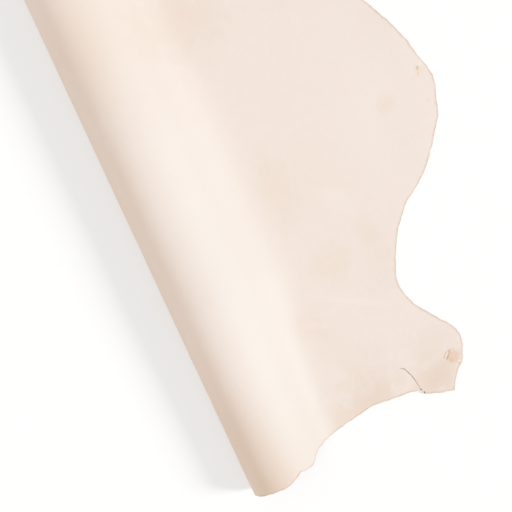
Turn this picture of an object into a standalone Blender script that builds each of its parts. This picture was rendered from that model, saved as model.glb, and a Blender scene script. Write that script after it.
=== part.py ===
"""A vegetable-tanned leather side, one cut piece, lying grain up with its back folded under.

Metres, +Z up. The leather is drawn flat first, as it was cut: "across" runs from the back, at
minus values, to the belly, and "along" runs from the butt end to the neck. Across 0 is the line
where the folded leather reaches furthest out, once it is draped. The flat blank is then draped:
right of the line where the leather touches down it stays flat, and left of it the leather rises,
rounds over the fold and runs back under itself, grain down, to the straight cut along the back.
"""
import math

import bmesh
import bpy
import numpy as np
from mathutils import Matrix, Vector

THICKNESS = 0.0032

BACK_CUT = -0.26
NECK_END = 2.150

# How the fold is shaped at stations along the side: the run-out, over which the leather lifts off
# the floor, and the top, over which it climbs, turns over and starts to go under.
FOLD_STATIONS = (
    # along, run_out, top
    (0.00, 0.080, 0.236),
    (0.10, 0.085, 0.240),
    (0.23, 0.095, 0.248),
    (0.42, 0.140, 0.260),
    (0.60, 0.135, 0.258),
    (0.80, 0.145, 0.266),
    (1.00, 0.140, 0.264),
    (1.40, 0.138, 0.262),
    (2.20, 0.140, 0.264),
)
TOP_EASE = 1.35
UNDER_EASE = 1.2
UNDER_SHARE = 0.45

# The cut edge, round from the back at the butt end. A corner keeps its point.
BUTT_EDGE = (
    # across, along, corner
    (BACK_CUT, 0.032, True),
    (-0.180, 0.012, False),
    (-0.110, 0.001, False),
    (-0.055, -0.0030, False),
    (-0.015, -0.0067, False),
    (0.036, -0.0064, False),
    (0.052, -0.0027, False),
    (0.061, 0.0010, False),
    (0.077, 0.0100, True),
    (0.092, 0.0074, False),
    (0.106, 0.0078, False),
    (0.122, 0.0120, False),
    (0.150, 0.0275, False),
    (0.188, 0.0360, False),
    (0.212, 0.0412, False),
    (0.240, 0.0480, False),
    (0.270, 0.0522, False),
    (0.315, 0.0605, False),
    (0.350, 0.0597, False),
    (0.374, 0.0570, False),
    (0.392, 0.0545, False),
    (0.405, 0.0550, False),
    (0.418, 0.0523, False),
    (0.428, 0.0500, False),
)
HIND_SHANK = (
    (0.4405, 0.0362, True),
    (0.456, 0.0305, False),
    (0.473, 0.0246, False),
    (0.4915, 0.0204, False),
    (0.5045, 0.0158, True),
    (0.509, 0.026, False),
    (0.5155, 0.0354, False),
    (0.524, 0.048, False),
    (0.5345, 0.0588, False),
    (0.544, 0.0645, False),
    (0.550, 0.0711, False),
    (0.5545, 0.080, False),
    (0.561, 0.0967, False),
    (0.566, 0.109, False),
    (0.5685, 0.124, False),
    (0.566, 0.138, False),
    (0.557, 0.1555, False),
    (0.532, 0.190, False),
    (0.508, 0.224, False),
    (0.4925, 0.262, False),
    (0.491, 0.285, False),
    (0.4945, 0.307, False),
)
FLANK_AND_BELLY = (
    (0.511, 0.3425, False),
    (0.531, 0.380, False),
    (0.556, 0.4135, False),
    (0.586, 0.4445, False),
    (0.6205, 0.4672, False),
    (0.640, 0.4815, False),
    (0.6535, 0.4942, False),
    (0.668, 0.5092, False),
    (0.682, 0.5258, False),
    (0.707, 0.5585, False),
    (0.7315, 0.592, False),
    (0.7455, 0.6305, False),
    (0.7575, 0.6678, False),
    (0.7573, 0.692, False),
    (0.7465, 0.734, False),
    (0.737, 0.7778, False),
    (0.724, 0.8165, False),
    (0.708, 0.8555, False),
    (0.6885, 0.896, False),
    (0.645, 0.968, False),
    (0.598, 1.055, False),
    (0.563, 1.155, False),
    (0.550, 1.255, False),
    (0.560, 1.360, False),
    (0.592, 1.460, False),
)
FORE_SHANK_AND_NECK = (
    (0.640, 1.545, False),
    (0.682, 1.615, False),
    (0.697, 1.675, False),
    (0.684, 1.730, False),
    (0.640, 1.770, False),
    (0.560, 1.798, False),
    (0.478, 1.830, False),
    (0.425, 1.880, False),
    (0.402, 1.950, False),
    (0.392, 2.030, False),
    (0.378, 2.100, False),
    (0.340, 2.138, False),
    (0.270, 2.150, False),
    (0.120, 2.157, False),
    (-0.100, 2.155, False),
    (BACK_CUT, NECK_END, True),
)
EDGE_STEP = 0.022

# A flaying cut runs in from the butt edge; each row is the middle of the cut and its width.
SLIT = (
    # across, along, width
    (0.4346, 0.0495, 0.0018),
    (0.4344, 0.0620, 0.0018),
    (0.4318, 0.0800, 0.0020),
    (0.4272, 0.0940, 0.0022),
    (0.4222, 0.1060, 0.0018),
    (0.4160, 0.1110, 0.0014),
    (0.4090, 0.1140, 0.0000),
)

# Places where the lying leather stands off the floor, as round or long swells. Below the rest
# height it lies flat.
REST_HEIGHT = 0.0003
SWELLS = (
    # across, along, reach across, reach along, lift
    (0.375, 0.065, 0.060, 0.075, 0.0065),
    (0.505, 0.035, 0.050, 0.045, 0.0070),
    (0.560, 0.110, 0.050, 0.050, 0.0030),
    (0.500, 0.285, 0.070, 0.060, 0.0040),
    (0.680, 0.560, 0.060, 0.080, 0.0035),
    (0.735, 0.800, 0.060, 0.080, 0.0045),
    (0.600, 1.180, 0.070, 0.120, 0.0050),
    (0.650, 1.660, 0.070, 0.080, 0.0060),
)
SWELL_CLEARANCE = 0.08

TUCK_GRID = 0.010
FOLD_GRID = 0.017
FLAT_GRID = 0.060
ALONG_GRID = 0.060
PATH_STEPS = 160
WELD = 0.0015

GRAIN_COLOUR = (0.66, 0.49, 0.39, 1.0)


def clear_scene():
    for old in list(bpy.data.objects):
        bpy.data.objects.remove(old, do_unlink=True)


def station_values(along):
    """The run-out and the top stretch at each place along the side."""
    table = np.array(FOLD_STATIONS)
    run_out = np.interp(along, table[:, 0], table[:, 1])
    top = np.interp(along, table[:, 0], table[:, 2])
    return run_out, top


def under_stretch(top, climb):
    """The stretch that tucks under, bent tighter than the end of the top by the weight above."""
    as_tight = top * (math.pi / 2 * UNDER_EASE) / ((climb + math.pi / 2) * TOP_EASE)
    return UNDER_SHARE * as_tight


def slope_along_path(path, run_out, top, climb):
    """The leather's slope at a distance from where it touches down, seen from the butt end."""
    lift = climb * (0.5 - 0.5 * np.cos(math.pi * np.clip(path / run_out, 0, 1)))
    over = (climb + math.pi / 2) * np.clip((path - run_out) / top, 0, 1) ** TOP_EASE
    tucked = np.clip((path - run_out - top) / under_stretch(top, climb), 0, 1)
    return lift - over - math.pi / 2 * (1 - (1 - tucked) ** UNDER_EASE)


def walk(length, run_out, top, climb):
    """How far the path goes towards the back, and how high it climbs, over each length."""
    middles = (np.arange(PATH_STEPS) + 0.5) / PATH_STEPS
    slopes = slope_along_path(length[:, None] * middles, run_out[:, None], top[:, None],
                              climb[:, None])
    step = length / PATH_STEPS
    return np.cos(slopes).sum(axis=1) * step, np.sin(slopes).sum(axis=1) * step


def steepest_climb(run_out, top):
    """The climb that brings the end of the tuck down to the floor, found by halving."""
    low = np.full(len(run_out), 0.2)
    high = np.full(len(run_out), 1.5)
    for _ in range(40):
        middle = (low + high) / 2
        length = run_out + top + under_stretch(top, middle)
        end_height = walk(length, run_out, top, middle)[1] + THICKNESS
        high = np.where(end_height > 0, middle, high)
        low = np.where(end_height > 0, low, middle)
    return (low + high) / 2


def swell_height(across, along, touch):
    """How far the lying leather stands off the floor, none of it near the fold."""
    height = np.zeros(len(across))
    for middle_x, middle_y, reach_x, reach_y, lift in SWELLS:
        spread = ((across - middle_x) / reach_x) ** 2 + ((along - middle_y) / reach_y) ** 2
        height += lift * np.exp(-spread)
    clear = np.clip((across - touch) / SWELL_CLEARANCE, 0, 1)
    return np.clip(height * clear ** 2 * (3 - 2 * clear) - REST_HEIGHT, 0, None)


def drape(flat_points):
    """Where each point of the flat blank's grain side lies once the side is folded."""
    across, along = np.array(flat_points).T
    places = np.linspace(0, NECK_END + 0.05, 120)
    place_run_out, place_top = station_values(places)
    climbs = steepest_climb(place_run_out, place_top)
    touches = walk(place_run_out + place_top, place_run_out, place_top, climbs)[0]
    run_out, top = station_values(along)
    climb = np.interp(along, places, climbs)
    touch = np.interp(along, places, touches)
    fold = run_out + top + under_stretch(top, climb)
    path = np.clip(touch - across, 0, fold)
    gone, climbed = walk(path, run_out, top, climb)
    flap = np.clip(touch - across - fold, 0, None)
    x = np.where(across > touch, across, touch - gone + flap)
    z = np.where(across > touch, THICKNESS + swell_height(across, along, touch),
                 np.where(flap > 0, 0.0, THICKNESS + climbed))
    return [Vector(p) for p in zip(x, along, z)]


def smooth_run(points):
    """A smooth curve through the rows, in even steps, ending on the last row."""
    knots = [Vector((row[0], row[1])) for row in points]
    knots = [2 * knots[0] - knots[1]] + knots + [2 * knots[-1] - knots[-2]]
    run = []
    for before, start, end, after in zip(knots, knots[1:], knots[2:], knots[3:]):
        steps = max(1, round((end - start).length / EDGE_STEP))
        for i in range(steps):
            t = i / steps
            run.append(0.5 * ((2 * start) + (end - before) * t
                              + (2 * before - 5 * start + 4 * end - after) * t ** 2
                              + (3 * start - before - 3 * end + after) * t ** 3))
    run.append(knots[-2])
    return run


def smooth_edge(rows):
    """The cut edge through the rows, smooth between corners."""
    edge = []
    piece = []
    for row in rows:
        piece.append(row)
        if row[2] and len(piece) > 1:
            edge += smooth_run(piece)[:-1]
            piece = [row]
    edge += smooth_run(piece) if len(piece) > 1 else [Vector(piece[0][:2])]
    return edge


def slit_edge():
    """Both lips of the cut, in from the butt side and out again to the shank side."""
    middles = [Vector(row[:2]) for row in SLIT]
    near_lip = []
    far_lip = []
    for i, (here, row) in enumerate(zip(middles[:-1], SLIT)):
        onward = (middles[i + 1] - middles[max(i - 1, 0)]).normalized()
        aside = Vector((-onward.y, onward.x)) * row[2] / 2
        near_lip.append(here + aside)
        far_lip.insert(0, here - aside)
    return near_lip + [middles[-1]] + far_lip


def blank_edge():
    shank_to_neck = HIND_SHANK + FLANK_AND_BELLY + FORE_SHANK_AND_NECK
    return smooth_edge(BUTT_EDGE) + slit_edge() + smooth_edge(shank_to_neck)


def cut_grid(blank):
    """Divides the flat blank across and along, closer together over the fold and its tuck."""
    tuck_lines = np.arange(-0.165, -0.076, TUCK_GRID)
    fold_lines = np.arange(-0.074, 0.325, FOLD_GRID)
    flat_lines = np.arange(fold_lines[-1] + FLAT_GRID / 2, 0.75, FLAT_GRID)
    across_lines = [BACK_CUT + 0.05, *tuck_lines, *fold_lines, *flat_lines]
    along_lines = [0.03, 0.09, *np.arange(0.06, NECK_END, ALONG_GRID)]
    for places, normal in ((across_lines, Vector((1, 0, 0))), (along_lines, Vector((0, 1, 0)))):
        for place in places:
            geometry = blank.verts[:] + blank.edges[:] + blank.faces[:]
            bmesh.ops.bisect_plane(blank, geom=geometry, dist=WELD, plane_co=normal * float(place),
                                   plane_no=normal)


def make_side():
    """The blank as one face, divided, draped and given its thickness on the flesh side."""
    blank = bmesh.new()
    corners = [blank.verts.new((point.x, point.y, 0)) for point in blank_edge()]
    blank.faces.new(corners)
    cut_grid(blank)
    bmesh.ops.triangulate(blank, faces=blank.faces[:])
    places = drape([(vert.co.x, vert.co.y) for vert in blank.verts])
    for vert, place in zip(blank.verts, places):
        vert.co = place
    mesh = bpy.data.meshes.new("leather_side")
    blank.to_mesh(mesh)
    blank.free()
    side = bpy.data.objects.new("leather_side", mesh)
    bpy.context.collection.objects.link(side)
    body = side.modifiers.new("thickness", "SOLIDIFY")
    body.thickness = THICKNESS
    body.offset = -1
    body.use_even_offset = True
    mesh.shade_smooth()
    mesh.set_sharp_from_angle(angle=math.radians(35))
    return side


def centre_on_floor(side):
    """Moves the mesh so that the origin is under the middle of its box, on the floor."""
    bpy.context.view_layer.update()
    shaped = side.evaluated_get(bpy.context.evaluated_depsgraph_get())
    corners = [Vector(corner) for corner in shaped.bound_box]
    lowest = Vector([min(corner[axis] for corner in corners) for axis in range(3)])
    highest = Vector([max(corner[axis] for corner in corners) for axis in range(3)])
    middle = (lowest + highest) / 2
    side.data.transform(Matrix.Translation((-middle.x, -middle.y, -lowest.z)))


def leather_material():
    material = bpy.data.materials.new("vegetable_tanned_leather")
    material.use_nodes = True
    shader = material.node_tree.nodes["Principled BSDF"]
    shader.inputs["Base Color"].default_value = GRAIN_COLOUR
    shader.inputs["Roughness"].default_value = 0.6
    shader.inputs["Metallic"].default_value = 0.0
    return material


clear_scene()
leather_side = make_side()
leather_side.data.materials.append(leather_material())
centre_on_floor(leather_side)
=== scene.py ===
# %% [markdown]
# A leather side, laid out to be looked at
#
# The object is half of a cattle hide, tanned with bark and left its natural colour. It lies grain
# side up, and its back is folded under in one round, open fold. There is nothing sewn to it: the
# whole object is one cut sheet, so the lesson is about one sheet made very well. We draw the cut
# outline flat, divide it, drape it over the fold by a rule, give it thickness, and then paint
# three surfaces: the smooth grain side, the suede-like flesh side and the raw cut edge.

# %% Load the frame
import math

import bmesh
import bpy
import numpy as np
from mathutils import Matrix, Vector
from mathutils.kdtree import KDTree


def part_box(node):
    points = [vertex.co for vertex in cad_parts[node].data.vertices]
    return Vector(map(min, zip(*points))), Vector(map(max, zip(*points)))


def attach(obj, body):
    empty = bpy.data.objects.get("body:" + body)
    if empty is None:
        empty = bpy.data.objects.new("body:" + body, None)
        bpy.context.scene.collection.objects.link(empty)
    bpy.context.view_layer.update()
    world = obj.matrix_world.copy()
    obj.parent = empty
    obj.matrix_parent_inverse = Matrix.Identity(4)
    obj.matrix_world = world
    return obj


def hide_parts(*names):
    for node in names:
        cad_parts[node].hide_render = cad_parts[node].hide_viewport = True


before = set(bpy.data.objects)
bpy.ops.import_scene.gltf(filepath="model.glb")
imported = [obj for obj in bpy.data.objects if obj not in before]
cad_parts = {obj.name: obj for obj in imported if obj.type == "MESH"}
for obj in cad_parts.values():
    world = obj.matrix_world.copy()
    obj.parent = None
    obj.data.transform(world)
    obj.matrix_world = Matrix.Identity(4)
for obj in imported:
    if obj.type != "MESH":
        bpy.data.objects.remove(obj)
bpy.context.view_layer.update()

print("the frame holds", ", ".join(sorted(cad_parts)))

# %% [markdown]
# Where the flat cut meets the frame
#
# Two directions on the leather are used all through the script. "Across" runs from the back to
# the belly and is 0 at the fold's outermost line. "Along" runs from the butt end to the neck and
# is 0 level with the butt, whose edge bulges a little below that. The frame's box gives both
# zeros, so the new sheet lands on the old one.

# %% The two zeros and the leather's thickness
SIDE_LOW, SIDE_HIGH = (Vector(corner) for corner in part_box("leather_side"))
BUTT_LOW = -0.0067
FLAT_ZERO = Vector((SIDE_LOW.x, SIDE_LOW.y - BUTT_LOW, 0.0))
THICKNESS = 0.0032
print("the side is", [round(size, 3) for size in SIDE_HIGH - SIDE_LOW], "m over all")

# %% [markdown]
# The camera comes first
#
# The photograph looks straight down, with the side turned so that its fold runs from the upper
# left to the lower right. A long lens from almost three metres keeps the edges parallel, and the
# fold, which stands about 12 cm high, then looks only a little larger than the leather beyond it.

# %% The camera over the side
CAMERA_HEIGHT = 2.8
VIEW_WIDTH = 1.152
VIEW_CENTRE = Vector((0.2269, 0.4774))
FOLD_TURN = math.radians(24.954)


def place_camera():
    lens_data = bpy.data.cameras.new("overhead")
    lens_data.sensor_width = 36.0
    lens_data.lens = lens_data.sensor_width * CAMERA_HEIGHT / VIEW_WIDTH
    camera = bpy.data.objects.new("overhead", lens_data)
    bpy.context.collection.objects.link(camera)
    camera.location = FLAT_ZERO + Vector((*VIEW_CENTRE, CAMERA_HEIGHT))
    camera.rotation_euler = (0.0, 0.0, -FOLD_TURN)
    bpy.context.scene.camera = camera
    return camera


camera = place_camera()
print("the lens is", round(camera.data.lens, 1), "mm")

# %% [markdown]
# The cut outline
#
# A hide is flayed with a knife, so its outline is a string of long soft curves with a few sharp
# corners. We set down points on it, mark the corners, and run a smooth curve through the rest.
# A trimmed edge is never clean: a little waviness is added, from a few sine waves of different
# lengths, which stay the same on every run.

# %% The points of the outline
BACK_CUT = -0.26
NECK_END = 2.150
BUTT_EDGE = (
    # across, along, corner
    (BACK_CUT, 0.032, True),
    (-0.180, 0.012, False),
    (-0.110, 0.001, False),
    (-0.055, -0.0030, False),
    (-0.015, -0.0067, False),
    (0.036, -0.0064, False),
    (0.052, -0.0027, False),
    (0.061, 0.0010, False),
    (0.077, 0.0100, True),
    (0.092, 0.0074, False),
    (0.106, 0.0078, False),
    (0.122, 0.0120, False),
    (0.150, 0.0275, False),
    (0.188, 0.0360, False),
    (0.212, 0.0412, False),
    (0.240, 0.0480, False),
    (0.270, 0.0522, False),
    (0.315, 0.0605, False),
    (0.350, 0.0597, False),
    (0.374, 0.0570, False),
    (0.392, 0.0545, False),
    (0.405, 0.0550, False),
    (0.418, 0.0523, False),
    (0.428, 0.0500, False),
)
HIND_SHANK = (
    (0.4405, 0.0362, True),
    (0.456, 0.0305, False),
    (0.473, 0.0246, False),
    (0.4915, 0.0204, False),
    (0.5045, 0.0158, True),
    (0.509, 0.026, False),
    (0.5155, 0.0354, False),
    (0.524, 0.048, False),
    (0.5345, 0.0588, False),
    (0.544, 0.0645, False),
    (0.550, 0.0711, False),
    (0.5545, 0.080, False),
    (0.561, 0.0967, False),
    (0.566, 0.109, False),
    (0.5685, 0.124, False),
    (0.566, 0.138, False),
    (0.557, 0.1555, False),
    (0.532, 0.190, False),
    (0.508, 0.224, False),
    (0.4925, 0.262, False),
    (0.491, 0.285, False),
    (0.4945, 0.307, False),
)
FLANK_AND_BELLY = (
    (0.511, 0.3425, False),
    (0.531, 0.380, False),
    (0.556, 0.4135, False),
    (0.586, 0.4445, False),
    (0.6205, 0.4672, False),
    (0.640, 0.4815, False),
    (0.6535, 0.4942, False),
    (0.668, 0.5092, False),
    (0.682, 0.5258, False),
    (0.707, 0.5585, False),
    (0.7315, 0.592, False),
    (0.7455, 0.6305, False),
    (0.7575, 0.6678, False),
    (0.7573, 0.692, False),
    (0.7465, 0.734, False),
    (0.737, 0.7778, False),
    (0.724, 0.8165, False),
    (0.708, 0.8555, False),
    (0.6885, 0.896, False),
    (0.645, 0.968, False),
    (0.598, 1.055, False),
    (0.563, 1.155, False),
    (0.550, 1.255, False),
    (0.560, 1.360, False),
    (0.592, 1.460, False),
)
FORE_SHANK_AND_NECK = (
    (0.640, 1.545, False),
    (0.682, 1.615, False),
    (0.697, 1.675, False),
    (0.684, 1.730, False),
    (0.640, 1.770, False),
    (0.560, 1.798, False),
    (0.478, 1.830, False),
    (0.425, 1.880, False),
    (0.402, 1.950, False),
    (0.392, 2.030, False),
    (0.378, 2.100, False),
    (0.340, 2.138, False),
    (0.270, 2.150, False),
    (0.120, 2.157, False),
    (-0.100, 2.155, False),
    (BACK_CUT, NECK_END, True),
)
EDGE_STEP = 0.0042

# %% [markdown]
# The flaying cut
#
# A knife slip opened a curved cut in the butt edge, and the two lips stand a hair apart. It is
# part of the outline: the edge simply turns in along one lip and comes out along the other.

# %% The middle of the cut and its width
SLIT = (
    # across, along, width
    (0.4346, 0.0495, 0.0012),
    (0.4348, 0.0560, 0.0011),
    (0.4344, 0.0620, 0.0012),
    (0.4334, 0.0710, 0.0017),
    (0.4318, 0.0800, 0.0023),
    (0.4298, 0.0875, 0.0026),
    (0.4272, 0.0940, 0.0026),
    (0.4250, 0.1000, 0.0024),
    (0.4222, 0.1060, 0.0021),
    (0.4195, 0.1090, 0.0018),
    (0.4160, 0.1110, 0.0014),
    (0.4125, 0.1126, 0.0009),
    (0.4090, 0.1140, 0.0000),
)

# %% Turn the points into one smooth, slightly ragged edge
RAGGED_WAVES = (
    # wave length, size, start
    (0.0610, 0.00045, 0.3),
    (0.0233, 0.00035, 1.7),
    (0.0131, 0.00025, 4.1),
    (0.0317, 0.00030, 2.6),
)


def smooth_run(points):
    """A smooth curve through the rows, in even steps, ending on the last row."""
    knots = [Vector((row[0], row[1])) for row in points]
    knots = [2 * knots[0] - knots[1]] + knots + [2 * knots[-1] - knots[-2]]
    run = []
    for before, start, end, after in zip(knots, knots[1:], knots[2:], knots[3:]):
        steps = max(1, round((end - start).length / EDGE_STEP))
        for i in range(steps):
            t = i / steps
            run.append(0.5 * ((2 * start) + (end - before) * t
                              + (2 * before - 5 * start + 4 * end - after) * t ** 2
                              + (3 * start - before - 3 * end + after) * t ** 3))
    run.append(knots[-2])
    return run


def ragged(run):
    """Moves the inner points of a run a little to either side."""
    moved = [run[0]]
    gone = 0.0
    for before, here, after in zip(run, run[1:], run[2:]):
        gone += (here - before).length
        aside = Vector((before.y - after.y, after.x - before.x)).normalized()
        wave = sum(size * math.sin(2 * math.pi * gone / length + start)
                   for length, size, start in RAGGED_WAVES)
        moved.append(here + aside * wave)
    return moved + [run[-1]]


def smooth_edge(rows):
    """The cut edge through the rows, smooth between corners."""
    edge = []
    piece = []
    for row in rows:
        piece.append(row)
        if row[2] and len(piece) > 1:
            edge += ragged(smooth_run(piece))[:-1]
            piece = [row]
    edge += ragged(smooth_run(piece)) if len(piece) > 1 else [Vector(piece[0][:2])]
    return edge


def slit_edge():
    """Both lips of the cut, in from the butt side and out again to the shank side."""
    middles = [Vector(row[:2]) for row in SLIT]
    near_lip = []
    far_lip = []
    for i, (here, row) in enumerate(zip(middles[:-1], SLIT)):
        onward = (middles[i + 1] - middles[max(i - 1, 0)]).normalized()
        aside = Vector((-onward.y, onward.x)) * row[2] / 2
        near_lip.append(here + aside)
        far_lip.insert(0, here - aside)
    return near_lip + [middles[-1]] + far_lip


def back_edge():
    """The straight cut along the backbone, from the neck down to the butt."""
    steps = round((NECK_END - BUTT_EDGE[0][1]) / EDGE_STEP)
    lengths = [NECK_END + (BUTT_EDGE[0][1] - NECK_END) * i / steps for i in range(1, steps)]
    return [Vector((BACK_CUT, along)) for along in lengths]


shank_to_neck = HIND_SHANK + FLANK_AND_BELLY + FORE_SHANK_AND_NECK
butt_run = smooth_edge(BUTT_EDGE)
long_run = smooth_edge(shank_to_neck) + back_edge()
cut_edge = butt_run + slit_edge() + long_run

# %% [markdown]
# The fold, as a rule for bending
#
# Thick leather can't crease sharply. Seen from the butt end, the sheet lifts off the floor in a
# short easy curve, climbs, rounds over the top, and turns under more tightly lower down, where
# it carries its own weight. We could drape it with the cloth solver, but leather keeps the roll
# it was stored in, so the rule is better: the slope is given at each distance along the sheet,
# and adding up small steps at that slope gives the shape without stretching the leather.

# %% How the slope changes over the fold
FOLD_STATIONS = (
    # along, run_out, top
    (0.00, 0.080, 0.236),
    (0.10, 0.085, 0.240),
    (0.23, 0.095, 0.248),
    (0.42, 0.140, 0.260),
    (0.60, 0.135, 0.258),
    (0.80, 0.145, 0.266),
    (1.00, 0.140, 0.264),
    (1.40, 0.138, 0.262),
    (2.20, 0.140, 0.264),
)
TOP_EASE = 1.35
UNDER_EASE = 1.2
UNDER_SHARE = 0.45
PATH_STEPS = 160
CLIMB_LIMITS = (0.2, 1.5)
HALVINGS = 40
STATION_COUNT = 120
PAST_NECK = 0.05


def station_values(along):
    """The run-out and the top stretch at each place along the side."""
    table = np.array(FOLD_STATIONS)
    run_out = np.interp(along, table[:, 0], table[:, 1])
    top = np.interp(along, table[:, 0], table[:, 2])
    return run_out, top


def under_stretch(top, climb):
    """The stretch that tucks under, bent tighter than the end of the top by the weight above."""
    as_tight = top * (math.pi / 2 * UNDER_EASE) / ((climb + math.pi / 2) * TOP_EASE)
    return UNDER_SHARE * as_tight


def slope_along_path(path, run_out, top, climb):
    """The leather's slope at a distance from where it touches down, seen from the butt end."""
    lift = climb * (0.5 - 0.5 * np.cos(math.pi * np.clip(path / run_out, 0, 1)))
    over = (climb + math.pi / 2) * np.clip((path - run_out) / top, 0, 1) ** TOP_EASE
    tucked = np.clip((path - run_out - top) / under_stretch(top, climb), 0, 1)
    return lift - over - math.pi / 2 * (1 - (1 - tucked) ** UNDER_EASE)


def walk(length, run_out, top, climb):
    """How far the path goes towards the back, and how high it climbs, over each length."""
    middles = (np.arange(PATH_STEPS) + 0.5) / PATH_STEPS
    slopes = slope_along_path(length[:, None] * middles, run_out[:, None], top[:, None],
                              climb[:, None])
    step = length / PATH_STEPS
    return np.cos(slopes).sum(axis=1) * step, np.sin(slopes).sum(axis=1) * step


def steepest_climb(run_out, top):
    """The climb that brings the end of the tuck down to the floor, found by halving."""
    low, high = (np.full(len(run_out), limit) for limit in CLIMB_LIMITS)
    for _ in range(HALVINGS):
        middle = (low + high) / 2
        length = run_out + top + under_stretch(top, middle)
        end_height = walk(length, run_out, top, middle)[1] + THICKNESS
        high = np.where(end_height > 0, middle, high)
        low = np.where(end_height > 0, low, middle)
    return (low + high) / 2


stations = np.linspace(0, NECK_END + PAST_NECK, STATION_COUNT)
run_outs, tops = station_values(stations)
climbs = steepest_climb(run_outs, tops)
touches = walk(run_outs + tops, run_outs, tops, climbs)[0]
print("the leather touches down", touches.min().round(3), "to", touches.max().round(3),
      "m in from the fold")

# %% [markdown]
# Swells in the lying part
#
# The rest of the side lies flat but not dead flat. Shanks and belly edges dried a little
# longer than the firm back, so they stand off the floor in low, soft swells of a few
# millimetres. Each swell is a round or long hump; below a set rest height the leather is flat.

# %% The swells
REST_HEIGHT = 0.0003
SWELL_CLEARANCE = 0.08
SWELLS = (
    # across, along, reach across, reach along, lift
    (0.375, 0.065, 0.060, 0.075, 0.0065),
    (0.505, 0.035, 0.050, 0.045, 0.0070),
    (0.560, 0.110, 0.050, 0.050, 0.0030),
    (0.500, 0.285, 0.070, 0.060, 0.0040),
    (0.680, 0.560, 0.060, 0.080, 0.0035),
    (0.735, 0.800, 0.060, 0.080, 0.0045),
    (0.600, 1.180, 0.070, 0.120, 0.0050),
    (0.650, 1.660, 0.070, 0.080, 0.0060),
)


def swell_height(across, along, touch):
    """How far the lying leather stands off the floor, none of it near the fold."""
    height = np.zeros(len(across))
    for middle_x, middle_y, reach_x, reach_y, lift in SWELLS:
        spread = ((across - middle_x) / reach_x) ** 2 + ((along - middle_y) / reach_y) ** 2
        height += lift * np.exp(-spread)
    clear = np.clip((across - touch) / SWELL_CLEARANCE, 0, 1)
    return np.clip(height * clear ** 2 * (3 - 2 * clear) - REST_HEIGHT, 0, None)


def drape(across, along):
    """Where each point of the flat blank's grain side lies once the side is folded."""
    run_out, top = station_values(along)
    climb = np.interp(along, stations, climbs)
    touch = np.interp(along, stations, touches)
    fold = run_out + top + under_stretch(top, climb)
    path = np.clip(touch - across, 0, fold)
    gone, climbed = walk(path, run_out, top, climb)
    flap = np.clip(touch - across - fold, 0, None)
    x = np.where(across > touch, across, touch - gone + flap)
    z = np.where(across > touch, THICKNESS + swell_height(across, along, touch),
                 np.where(flap > 0, 0.0, THICKNESS + climbed))
    return np.stack([x, along, z], axis=1)


# %% [markdown]
# From outline to draped sheet
#
# The outline becomes one face. Two narrow rings are inset along the edge, so that the knife's
# rounded arris and the dark line beside it have points of their own. Then the face is divided
# by parallel cuts both ways, cut into triangles and draped. The flat place of every point is
# kept as a UV map, which the grain pattern follows over the fold.

# %% Divide the flat blank
GRID = 0.009
GRID_ACROSS = (BACK_CUT, 0.757)
GRID_ALONG = (BUTT_LOW, 2.157)
ARRIS = 0.0009
RIM_BAND = 0.0030
WELD = 0.0004
FLAT_MAP = "flat_cut"


def cut_blank():
    blank = bmesh.new()
    blank.faces.new([blank.verts.new((point.x, point.y, 0)) for point in cut_edge])
    middle = blank.faces[:]
    for width in (ARRIS, RIM_BAND - ARRIS):
        bmesh.ops.inset_region(blank, faces=middle, thickness=width, use_boundary=True)
    for axis, (start, end) in ((Vector((1, 0, 0)), GRID_ACROSS), (Vector((0, 1, 0)), GRID_ALONG)):
        for place in np.arange(start + GRID, end, GRID):
            geometry = blank.verts[:] + blank.edges[:] + blank.faces[:]
            bmesh.ops.bisect_plane(blank, geom=geometry, dist=WELD, plane_co=axis * float(place),
                                   plane_no=axis)
    bmesh.ops.triangulate(blank, faces=blank.faces[:])
    bmesh.ops.dissolve_degenerate(blank, edges=blank.edges[:], dist=WELD / 4)
    bmesh.ops.triangulate(blank, faces=blank.faces[:])
    return blank


blank = cut_blank()
cut_area = sum(face.calc_area() for face in blank.faces)
print("the blank has", len(blank.faces), "faces over", round(cut_area, 3), "square metres")

# %% [markdown]
# What the clamps left
#
# While it dried, the side was stretched on a frame by toggle clamps, and each jaw left a small
# pressed square near the edge: a shallow dent with a ridge or two where the jaw's teeth were.
# The dents are under a millimetre deep, so the blank is divided more finely there and the
# points are lowered by a rule. The jaws' stains are painted later, with the other marks, and so
# are painted shade in the grooves and painted highlights on the ridges.

# %% The clamp marks
CLAMP_MARKS = (
    # across, along, turn in degrees, wide, long, depth
    (0.5316, 0.0898, -45.0, 0.025, 0.030, 0.0007),
    (0.7340, 0.7020, -25.0, 0.026, 0.027, 0.0005),
)
GROOVES = (
    # place across the mark and width, both in half marks, strength
    (-0.66, 0.15, 1.0),
    (-1.20, 0.14, 0.8),
)
PRESSED_SHARE = 0.55
GROOVE_SHARE = 0.75
MARK_REACH = 0.026
MARK_ROUNDS = 2


def refine_marks(blank):
    for across, along, *_ in CLAMP_MARKS:
        for _ in range(MARK_ROUNDS):
            near = [edge for edge in blank.edges
                    if all((vert.co.xy - Vector((across, along))).length < MARK_REACH
                           for vert in edge.verts)]
            bmesh.ops.subdivide_edges(blank, edges=near, cuts=1, use_grid_fill=True)
            bmesh.ops.triangulate(blank, faces=blank.faces[:])


def mark_depth(across, along):
    """How deep the clamps pressed the grain side at each point: a soft square with grooves."""
    depth = np.zeros(len(across))
    for middle_x, middle_y, turn, wide, long, deep in CLAMP_MARKS:
        c, s = math.cos(math.radians(turn)), math.sin(math.radians(turn))
        right = ((across - middle_x) * c + (along - middle_y) * s) / (wide / 2)
        up = ((along - middle_y) * c - (across - middle_x) * s) / (long / 2)
        inside = 1 / (1 + (right ** 6 + up ** 6))
        groove = sum(strength * np.exp(-((right - place) / width) ** 2)
                     for place, width, strength in GROOVES)
        depth += deep * (PRESSED_SHARE * inside + GROOVE_SHARE * groove / (1 + up ** 8))
    return depth


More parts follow.
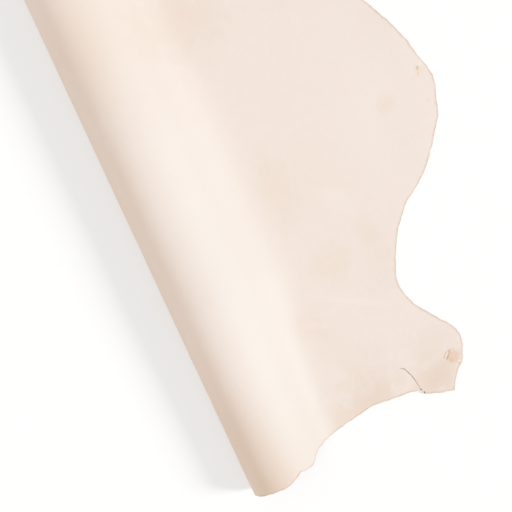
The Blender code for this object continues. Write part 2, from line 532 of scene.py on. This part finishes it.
refine_marks(blank)
print("with the marks divided, the blank has", len(blank.faces), "faces")


# %% Drape the blank
def drape_blank(blank, flat):
    places = drape(flat[:, 0], flat[:, 1])
    flat_map = blank.loops.layers.uv.new(FLAT_MAP)
    for face in blank.faces:
        for corner in face.loops:
            corner[flat_map].uv = corner.vert.co.xy
    for vert, place in zip(blank.verts, places):
        vert.co = FLAT_ZERO + Vector(place)
    blank.normal_update()


flat_places = np.array([vert.co.xy[:] for vert in blank.verts])
drape_blank(blank, flat_places)

# %% Give the sheet its thickness
GRAIN, FLESH, CUT = 0, 1, 2
SMOOTH_ANGLE = math.radians(38)
ARRIS_DROP = 0.0004
LEAST_DROP = 0.00001


def thick_sheet(blank):
    """The sheet with its flesh side and cut edge, each with a material slot of its own."""
    mesh = bpy.data.meshes.new("sheet")
    blank.to_mesh(mesh)
    for slot in ("grain", "flesh", "cut"):
        mesh.materials.append(bpy.data.materials.new(slot))
    rough = bpy.data.objects.new("rough_sheet", mesh)
    bpy.context.collection.objects.link(rough)
    body = rough.modifiers.new("thickness", "SOLIDIFY")
    body.thickness = THICKNESS
    body.offset = -1
    body.use_even_offset = True
    body.material_offset = FLESH
    body.material_offset_rim = CUT
    bpy.context.view_layer.update()
    shaped = rough.evaluated_get(bpy.context.evaluated_depsgraph_get())
    finished = bpy.data.meshes.new_from_object(shaped)
    bpy.data.objects.remove(rough, do_unlink=True)
    finished.name = "leather"
    finished.shade_smooth()
    finished.set_sharp_from_angle(angle=SMOOTH_ANGLE)
    sheet = bpy.data.objects.new("leather", finished)
    bpy.context.collection.objects.link(sheet)
    return sheet


def sink_grain(sheet, blank, flat):
    """Round the grain's arris and press in the clamp marks; the flesh side stays as it is."""
    on_edge = np.array([vert.is_boundary for vert in blank.verts])
    sunk = mark_depth(flat[:, 0], flat[:, 1]) + np.where(on_edge, ARRIS_DROP, 0)
    for vert, source, drop in zip(sheet.data.vertices, blank.verts, sunk):
        if drop > LEAST_DROP:
            vert.co -= source.normal * float(drop)


leather = thick_sheet(blank)
sink_grain(leather, blank, flat_places)
blank.free()
print("the sheet has", len(leather.data.polygons), "faces")

# %% [markdown]
# How near the edge each point is
#
# Raw leather darkens where the knife burnished it and where hands take hold, so the grain is a
# little browner along the cut. The darkest line, right at the edge, is also painted shade along
# the arris. Each point stores how near the edge it is, from 1 on the edge to 0 a few millimetres
# in, and the material reads that number as an attribute.

# %% Store the nearness to the edge
RIM_START = EDGE_STEP / 3
RIM_FADE = 0.0060


def store_rim(sheet):
    """Stores how near the trimmed edge each point is; the lips of the flaying cut stay pale."""
    mesh = sheet.data
    trimmed = butt_run + long_run
    outline = KDTree(len(trimmed))
    for i, point in enumerate(trimmed):
        outline.insert((point.x, point.y, 0), i)
    outline.balance()
    flat = np.zeros(len(mesh.loops) * 2)
    mesh.uv_layers[FLAT_MAP].uv.foreach_get("vector", flat)
    corner_verts = np.zeros(len(mesh.loops), dtype=int)
    mesh.loops.foreach_get("vertex_index", corner_verts)
    places = np.zeros((len(mesh.vertices), 2))
    places[corner_verts] = flat.reshape(-1, 2)
    near = np.zeros(len(places))
    for i, (across, along) in enumerate(places):
        distance = outline.find((across, along, 0))[2]
        near[i] = max(0.0, 1 - max(0.0, distance - RIM_START) / RIM_FADE)
    attribute = mesh.attributes.new("rim", "FLOAT", "POINT")
    attribute.data.foreach_set("value", near)


store_rim(leather)

# %% [markdown]
# Shader maths in plain expressions
#
# A material is a network, and long networks are easier to read as sums. The small class below
# wraps a socket, so that adding or multiplying two of them adds the Math node that does it.

# %% A socket that can be added and multiplied
class Wire:
    def __init__(self, paint, socket):
        self.paint = paint
        self.socket = socket

    def math(self, operation, *ends):
        return self.paint.node("ShaderNodeMath", {"operation": operation}, ends)

    def __add__(self, other):
        return self.math("ADD", self, other)

    def __radd__(self, other):
        return self.math("ADD", self, other)

    def __sub__(self, other):
        return self.math("SUBTRACT", self, other)

    def __rsub__(self, other):
        return self.math("SUBTRACT", other, self)

    def __mul__(self, other):
        return self.math("MULTIPLY", self, other)


class Paint:
    """One material's node tree, emptied, with a method that adds any node."""

    def __init__(self, material):
        material.use_nodes = True
        self.tree = material.node_tree
        self.tree.nodes.clear()

    def connect(self, socket, value):
        """A wire is linked to the socket, and anything else becomes the socket's value."""
        if isinstance(value, Wire):
            self.tree.links.new(value.socket, socket)
        else:
            socket.default_value = value

    def node(self, kind, settings=None, inputs=(), output=0):
        made = self.tree.nodes.new(kind)
        for name, value in (settings or {}).items():
            setattr(made, name, value)
        pairs = inputs.items() if isinstance(inputs, dict) else enumerate(inputs)
        for name, value in pairs:
            self.connect(made.inputs[name], value)
        return Wire(self, made.outputs[output])

    def noise(self, place, scale, detail, roughness, distortion=0.0):
        return self.node("ShaderNodeTexNoise", {"noise_dimensions": "2D"},
                         {"Vector": place, "Scale": scale, "Detail": detail,
                          "Roughness": roughness, "Distortion": distortion})

    def step(self, wire, low, high):
        """0 up to the low value and 1 from the high one, with a smooth rise between them."""
        return self.node("ShaderNodeMapRange", {"interpolation_type": "SMOOTHSTEP"},
                         {"Value": wire, "From Min": low, "From Max": high})

    def mix(self, share, first, second):
        """The first colour, with this share of the second."""
        made = self.tree.nodes.new("ShaderNodeMix")
        made.data_type = "RGBA"
        for name, value in (("Factor_Float", share), ("A_Color", first), ("B_Color", second)):
            self.connect(next(s for s in made.inputs if s.identifier == name), value)
        return Wire(self, next(s for s in made.outputs if s.identifier == "Result_Color"))

    def place(self, turn=0.0, stretch=(1.0, 1.0)):
        """Flat places on the leather in metres, turned and stretched for a pattern."""
        flat = self.node("ShaderNodeUVMap", {"uv_map": FLAT_MAP})
        if turn == 0.0 and stretch == (1.0, 1.0):
            return flat
        return self.node("ShaderNodeMapping", {},
                         {"Vector": flat, "Rotation": (0, 0, turn), "Scale": (*stretch, 1.0)})

    def spot(self, across, along, turn, reach_across, reach_along, core):
        """1 in the core of a turned oval on the leather, fading to 0 at its edge."""
        moved = self.node("ShaderNodeVectorMath", {"operation": "SUBTRACT"},
                          [self.place(), (across, along, 0.0)])
        turned = self.node("ShaderNodeMapping", {},
                           {"Vector": moved, "Rotation": (0, 0, -math.radians(turn))})
        oval = self.node("ShaderNodeVectorMath", {"operation": "DIVIDE"},
                         [turned, (reach_across, reach_along, 1.0)])
        far = self.node("ShaderNodeVectorMath", {"operation": "LENGTH"}, [oval], output=1)
        return self.step(1.0 - far, 0.0, 1.0 - core)

    def finish(self, colour, roughness, height, depth, **constants):
        """The surface itself, with the height as bump of a depth in metres."""
        shader = self.tree.nodes.new("ShaderNodeBsdfPrincipled")
        self.connect(shader.inputs["Base Color"], colour)
        self.connect(shader.inputs["Roughness"], roughness)
        for name, value in constants.items():
            shader.inputs[name.replace("_", " ")].default_value = value
        bump = self.node("ShaderNodeBump", {}, {"Distance": depth, "Height": height,
                                               "Strength": 1.0})
        self.connect(shader.inputs["Normal"], bump)
        out = self.tree.nodes.new("ShaderNodeOutputMaterial")
        self.tree.links.new(shader.outputs[0], out.inputs["Surface"])


# %% [markdown]
# The grain side
#
# Bark-tanned leather that was never dyed is a pale pinkish beige. It isn't even: broad clouds
# drift between pinker and yellower, faint streaks follow veins and growth lines, and the grain
# itself is a close pattern of pores and fine folds. The clouds and streaks are colour; the
# pores and folds are bump, because they catch the light without changing the outline.

# %% Colours of the grain
PINK_BEIGE = (0.660, 0.500, 0.412, 1)
STRAW_BEIGE = (0.652, 0.486, 0.388, 1)
ROSE_BEIGE = (0.655, 0.470, 0.395, 1)
ROSE_RED = (0.620, 0.400, 0.330, 1)
# painted highlight: paler and less red, for the sheen on the fold's lit slope
CREST_HIGHLIGHT = (0.636, 0.520, 0.440, 1)
PALE_BEIGE = (0.700, 0.552, 0.470, 1)
TAN_EDGE = (0.560, 0.350, 0.240, 1)
# the outermost rim line: browned edge and painted shade along the arris
EDGE_BROWN_AND_SHADE = (0.300, 0.200, 0.145, 1)
CLAMP_TAN = (0.550, 0.300, 0.178, 1)
# a dark brown for clamp stains, also painted shade in the clamp's grooves and along a nick
STAIN_AND_SHADE_BROWN = (0.360, 0.170, 0.090, 1)
# a warm tan for stains, also used as painted shade towards the butt end and on the shank
WARM_TAN_AND_SHADE = (0.580, 0.405, 0.300, 1)
STRAW_TAN = (0.640, 0.440, 0.270, 1)
PATCH_TAN = (0.640, 0.445, 0.340, 1)
# painted shade for the far side of the fold, which faces away from the key light
FOLD_SHADE_TAN = (0.560, 0.368, 0.258, 1)
# painted shadow for the gap under the lips at the mouth of the flaying cut
SHADOW_GREY = (0.060, 0.050, 0.045, 1)
# painted highlight on raised lips, ridges and small wrinkles
LIP_HIGHLIGHT = (0.780, 0.640, 0.540, 1)

# %% [markdown]
# Marks that have a place
#
# Some marks are not a pattern: each has its own place on this side. They are kept in one table,
# as turned ovals, and each oval mixes its own colour into the grain. Some are painted shade, on
# the far side of the fold, towards the butt end and on the shank; others are painted highlights,
# on the fold's lit slope and on small lips, ridges and wrinkles; two dark spots are a painted
# shadow at the mouth of the flaying cut. The broadest stay smooth, and a noise breaks up the rims
# of the others. Broad tints and faint streaks lie under the browned and shaded rim of the cut,
# and the small marks lie over it.

# %% The placed marks
SMOOTH_REACH = 0.3
BREAK_UP = 2.5
WHOLE_FROM = 0.9
# Both tables: across, along, turn in degrees, reach across, reach along, core, strength, colour.
BROAD_TINTS = (
    # painted shade on the far side of the fold, all along it and deeper at the butt end
    (-0.070, 0.550, 0.0, 0.130, 1.400, 0.00, 0.45, FOLD_SHADE_TAN),
    (-0.050, 0.020, 0.0, 0.140, 0.380, 0.00, 0.78, FOLD_SHADE_TAN),
    # painted shade: darker towards the butt end, where the light falls off
    (0.060, -0.040, 0.0, 0.300, 0.300, 0.00, 0.95, WARM_TAN_AND_SHADE),
    # painted shade on the butt end of the fold
    (0.000, -0.015, 0.0, 0.125, 0.110, 0.00, 0.65, FOLD_SHADE_TAN),
    # painted shade on the shank by the butt edge, where it tilts away from the light
    (0.310, 0.030, 0.0, 0.230, 0.200, 0.00, 0.85, WARM_TAN_AND_SHADE),
    (0.480, 0.055, 20.0, 0.105, 0.095, 0.00, 0.90, WARM_TAN_AND_SHADE),
    (0.480, 0.130, 0.0, 0.110, 0.100, 0.00, 0.30, WARM_TAN_AND_SHADE),
    (0.080, 1.050, 0.0, 0.200, 0.310, 0.00, 0.60, WARM_TAN_AND_SHADE),
    # painted highlight along the slope of the fold that faces the key light
    (0.145, 0.420, 0.0, 0.165, 0.900, 0.00, 0.90, CREST_HIGHLIGHT),
    (0.270, 1.030, 0.0, 0.250, 0.190, 0.00, 0.50, WARM_TAN_AND_SHADE),
    (0.332, 0.592, 0.0, 0.080, 0.190, 0.00, 0.55, PATCH_TAN),
    (0.370, 0.389, 0.0, 0.095, 0.095, 0.00, 0.55, PATCH_TAN),
    (0.620, 0.620, 0.0, 0.210, 0.420, 0.00, 0.60, PALE_BEIGE),
    (0.633, 0.663, 0.0, 0.050, 0.045, 0.00, 0.60, PATCH_TAN),
    (0.479, 0.400, 0.0, 0.060, 0.120, 0.00, 0.55, PATCH_TAN),
    # painted highlights on the lit sides of small wrinkles
    (0.390, 0.290, -30.0, 0.150, 0.018, 0.00, 0.30, LIP_HIGHLIGHT),
    (0.275, 0.2815, -25.0, 0.060, 0.012, 0.00, 0.35, LIP_HIGHLIGHT),
    (0.443, 0.520, -40.0, 0.090, 0.050, 0.00, 0.22, LIP_HIGHLIGHT),
    (0.6960, 0.7660, 0.0, 0.0080, 0.0070, 0.00, 0.35, WARM_TAN_AND_SHADE),
    (0.6930, 0.7470, 0.0, 0.0090, 0.0080, 0.00, 0.35, WARM_TAN_AND_SHADE),
    (0.7250, 0.6335, 0.0, 0.0110, 0.0110, 0.00, 0.50, WARM_TAN_AND_SHADE),
)
SMALL_MARKS = (
    (0.255, 0.290, -25.0, 0.080, 0.060, 0.01, 0.40, ROSE_RED),
    (0.290, 0.255, 20.0, 0.030, 0.060, 0.01, 0.35, ROSE_RED),
    (0.5345, 0.0860, -45.0, 0.0230, 0.0260, 0.40, 0.66, CLAMP_TAN),
    (0.5253, 0.0809, -45.0, 0.0085, 0.0090, 0.20, 0.70, CLAMP_TAN),
    # dark lines in the first clamp's grooves: stain and painted shade both
    (0.5283, 0.0995, -42.0, 0.0042, 0.0110, 0.40, 0.75, STAIN_AND_SHADE_BROWN),
    (0.5205, 0.0895, -45.0, 0.0032, 0.0100, 0.40, 0.80, STAIN_AND_SHADE_BROWN),
    (0.5179, 0.0972, -45.0, 0.0036, 0.0150, 0.45, 0.85, CLAMP_TAN),
    # painted highlights on ridges of the first clamp mark
    (0.5220, 0.0960, -45.0, 0.0022, 0.0140, 0.40, 0.50, LIP_HIGHLIGHT),
    (0.5412, 0.0715, -45.0, 0.0045, 0.0040, 0.30, 0.70, LIP_HIGHLIGHT),
    (0.5395, 0.0665, -45.0, 0.0045, 0.0060, 0.40, 1.00, CLAMP_TAN),
    # painted shade along the raised edge of the nick in the butt edge
    (0.0700, 0.0055, 38.0, 0.0135, 0.0048, 0.30, 1.00, STAIN_AND_SHADE_BROWN),
    (0.5572, 0.1127, -25.0, 0.0030, 0.0120, 0.10, 0.40, CLAMP_TAN),
    # painted highlight on the raised lip at the shank's edge
    (0.5600, 0.1180, -25.0, 0.0045, 0.0180, 0.10, 0.50, LIP_HIGHLIGHT),
    (0.5630, 0.1040, -30.0, 0.0022, 0.0110, 0.20, 0.40, CLAMP_TAN),
    (0.7375, 0.7010, -25.0, 0.0150, 0.0180, 0.30, 0.42, STRAW_TAN),
    (0.7339, 0.7080, -25.0, 0.0042, 0.0085, 0.40, 0.62, STAIN_AND_SHADE_BROWN),
    (0.7300, 0.6960, -25.0, 0.0042, 0.0085, 0.30, 0.55, CLAMP_TAN),
    (0.7275, 0.7120, -25.0, 0.0035, 0.0120, 0.30, 0.25, CLAMP_TAN),
    # painted highlights on the second clamp mark
    (0.7497, 0.6960, -25.0, 0.0035, 0.0040, 0.10, 0.60, LIP_HIGHLIGHT),
    (0.7433, 0.6764, -25.0, 0.0035, 0.0035, 0.10, 0.60, LIP_HIGHLIGHT),
    (0.7440, 0.7150, 30.0, 0.0040, 0.0090, 0.10, 0.50, LIP_HIGHLIGHT),
    # painted shadow in the gap at the mouth of the flaying cut
    (0.4358, 0.0490, 0.0, 0.0034, 0.0034, 0.60, 1.00, SHADOW_GREY),
    (0.4402, 0.0396, -25.0, 0.0028, 0.0046, 0.60, 1.00, SHADOW_GREY),
)


def mix_marks(paint, colour, marks, uneven):
    """The colour with each mark mixed in, its rim broken up by the uneven pattern."""
    for across, along, turn, wide, long, core, strength, stain in marks:
        oval = paint.spot(across, along, turn, wide, long, core)
        if long < SMOOTH_REACH:
            oval = oval * paint.step(oval + (uneven - 0.5) * BREAK_UP, 0.0, WHOLE_FROM)
        colour = paint.mix(oval * strength, colour, stain)
    return colour


def grain_material(material):
    paint = Paint(material)
    flat = paint.place()
    clouds = paint.noise(flat, scale=3.1, detail=3.0, roughness=0.55, distortion=0.4)
    drift = paint.noise(paint.place(0.5, (1.0, 0.6)), scale=6.7, detail=2.0, roughness=0.5,
                        distortion=0.3)
    streaks = paint.noise(paint.place(0.44, (0.35, 2.4)), scale=14.0, detail=3.0,
                          roughness=0.55, distortion=0.3)
    patches = paint.noise(flat, scale=24.0, detail=4.0, roughness=0.6)
    mottle = paint.noise(flat, scale=46.0, detail=4.0, roughness=0.6)
    flecks = paint.noise(flat, scale=190.0, detail=3.0, roughness=0.6)
    folds = paint.noise(paint.place(0.3, (1.0, 0.45)), scale=170.0, detail=4.0, roughness=0.6,
                        distortion=0.6)
    pores = paint.node("ShaderNodeTexVoronoi", {"voronoi_dimensions": "2D"},
                       {"Vector": flat, "Scale": 900.0})

    colour = PINK_BEIGE
    for pattern, low, high, strength, tint in (
            (clouds, 0.44, 0.68, 0.80, STRAW_BEIGE),
            (drift, 0.46, 0.72, 0.60, ROSE_BEIGE),
            (mottle, 0.35, 0.75, 0.22, PALE_BEIGE),
            (streaks, 0.60, 0.80, 0.20, PALE_BEIGE)):
        colour = paint.mix(paint.step(pattern, low, high) * strength, colour, tint)
    colour = mix_marks(paint, colour, BROAD_TINTS, patches)
    rim = paint.node("ShaderNodeAttribute", {"attribute_name": "rim"}, output=2)
    # the browned rim; its outermost line is also painted shade along the arris
    for raggedness, low, high, strength, tint in (
            (0.6, 0.35, 0.85, 0.75, TAN_EDGE),
            (0.3, 0.80, 1.00, 0.70, EDGE_BROWN_AND_SHADE)):
        browned_and_shaded = paint.step(rim + (mottle - 0.5) * raggedness, low, high)
        colour = paint.mix(browned_and_shaded * strength, colour, tint)
    colour = mix_marks(paint, colour, SMALL_MARKS, flecks)

    height = paint.step(pores, 0.0, 0.5) * 0.35 + folds
    roughness = 0.50 + mottle * 0.12
    paint.finish(colour, roughness, height, depth=0.00035, IOR=1.45)
    material.diffuse_color = PINK_BEIGE


grain_material(leather.data.materials[GRAIN])

# %% [markdown]
# The flesh side
#
# The flesh side was split and lies open: short loose fibres, lighter than the grain and with no
# gloss. A stretched noise gives the combed nap, and the sheen on the shader softens its edges.

# %% Flesh side and cut edge
FLESH_PALE = (0.640, 0.505, 0.410, 1)
FLESH_DEEP = (0.545, 0.405, 0.315, 1)
CUT_PALE = (0.600, 0.445, 0.345, 1)
CUT_DEEP = (0.470, 0.315, 0.225, 1)


def flesh_material(material):
    paint = Paint(material)
    nap = paint.noise(paint.place(0.9, (1.0, 0.35)), scale=420.0, detail=4.0, roughness=0.65,
                      distortion=0.8)
    clouds = paint.noise(paint.place(), scale=14.0, detail=4.0, roughness=0.6)
    colour = paint.mix(paint.step(nap * 0.6 + clouds * 0.4, 0.35, 0.65), FLESH_DEEP, FLESH_PALE)
    paint.finish(colour, 0.92, nap, depth=0.0009, Sheen_Weight=0.25, Sheen_Roughness=0.5)
    material.diffuse_color = FLESH_PALE


def cut_material(material):
    paint = Paint(material)
    where = paint.node("ShaderNodeTexCoord", output=3)
    layers = paint.node("ShaderNodeTexNoise", {},
                        {"Vector": where, "Scale": 320.0, "Detail": 4.0, "Roughness": 0.6})
    colour = paint.mix(paint.step(layers, 0.35, 0.65), CUT_DEEP, CUT_PALE)
    paint.finish(colour, 0.85, layers, depth=0.0006)
    material.diffuse_color = CUT_PALE


flesh_material(leather.data.materials[FLESH])
cut_material(leather.data.materials[CUT])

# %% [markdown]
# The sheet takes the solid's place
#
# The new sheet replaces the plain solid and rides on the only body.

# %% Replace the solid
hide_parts("leather_side")
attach(leather, "root")

# %% [markdown]
# The stage
#
# A white floor, two broad lights and an even sky. The key light stands low over the
# photograph's right, so the slope that faces it is the brightest part and a pale shadow lies
# beyond the fold. A weaker one, high over the lower left, fills the far side of the fold,
# which turns a soft brown instead of dark.

# %% Floor, light and tone
FLOOR_SIZE = 30.0
FLOOR_DROP = 0.0004
FLOOR_WHITE = (0.915, 0.908, 0.890, 1)
KEY_FROM_ZENITH = math.radians(59.5)
KEY_STRENGTH = 2.61
KEY_SPREAD = math.radians(16)
FILL_FROM_ZENITH = math.radians(-20)
FILL_TURN = math.radians(55)
FILL_STRENGTH = 0.82
FILL_SPREAD = math.radians(50)
SKY_STRENGTH = 0.445


def make_floor():
    shape = bmesh.new()
    bmesh.ops.create_grid(shape, x_segments=1, y_segments=1, size=FLOOR_SIZE / 2)
    mesh = bpy.data.meshes.new("floor")
    shape.to_mesh(mesh)
    shape.free()
    mesh.transform(Matrix.Translation((0, 0, -FLOOR_DROP)))
    floor = bpy.data.objects.new("floor", mesh)
    bpy.context.collection.objects.link(floor)
    white = bpy.data.materials.new("white_floor")
    white.use_nodes = True
    shader = white.node_tree.nodes["Principled BSDF"]
    shader.inputs["Base Color"].default_value = FLOOR_WHITE
    shader.inputs["Roughness"].default_value = 0.9
    shader.inputs["Specular IOR Level"].default_value = 0.0
    mesh.materials.append(white)


def make_light(name, from_zenith, turn, strength, spread):
    """A far light; a positive angle puts it over the photograph's right, turned from there."""
    data = bpy.data.lights.new(name, "SUN")
    data.energy = strength
    data.angle = spread
    light = bpy.data.objects.new(name, data)
    bpy.context.collection.objects.link(light)
    light.rotation_euler = (0.0, from_zenith, turn - FOLD_TURN)


def make_sky():
    sky = bpy.data.worlds.new("sky")
    sky.use_nodes = True
    sky.node_tree.nodes["Background"].inputs["Strength"].default_value = SKY_STRENGTH
    sky.node_tree.nodes["Background"].inputs["Color"].default_value = (1, 1, 1, 1)
    bpy.context.scene.world = sky


SHOULDER = 2.0
TONE_STEPS = 10


def set_tone():
    """A soft shoulder, so that pale leather keeps its shading beside a white floor."""
    view = bpy.context.scene.view_settings
    view.view_transform = "Standard"
    view.look = "None"
    view.use_curve_mapping = True
    mapping = view.curve_mapping
    curve = mapping.curves[3]
    for i in range(1, TONE_STEPS):
        x = i / TONE_STEPS
        curve.points.new(x, (1 - math.exp(-SHOULDER * x)) / (1 - math.exp(-SHOULDER)))
    mapping.update()


make_floor()
make_light("key", KEY_FROM_ZENITH, 0.0, KEY_STRENGTH, KEY_SPREAD)
make_light("fill", FILL_FROM_ZENITH, FILL_TURN, FILL_STRENGTH, FILL_SPREAD)
make_sky()
set_tone()
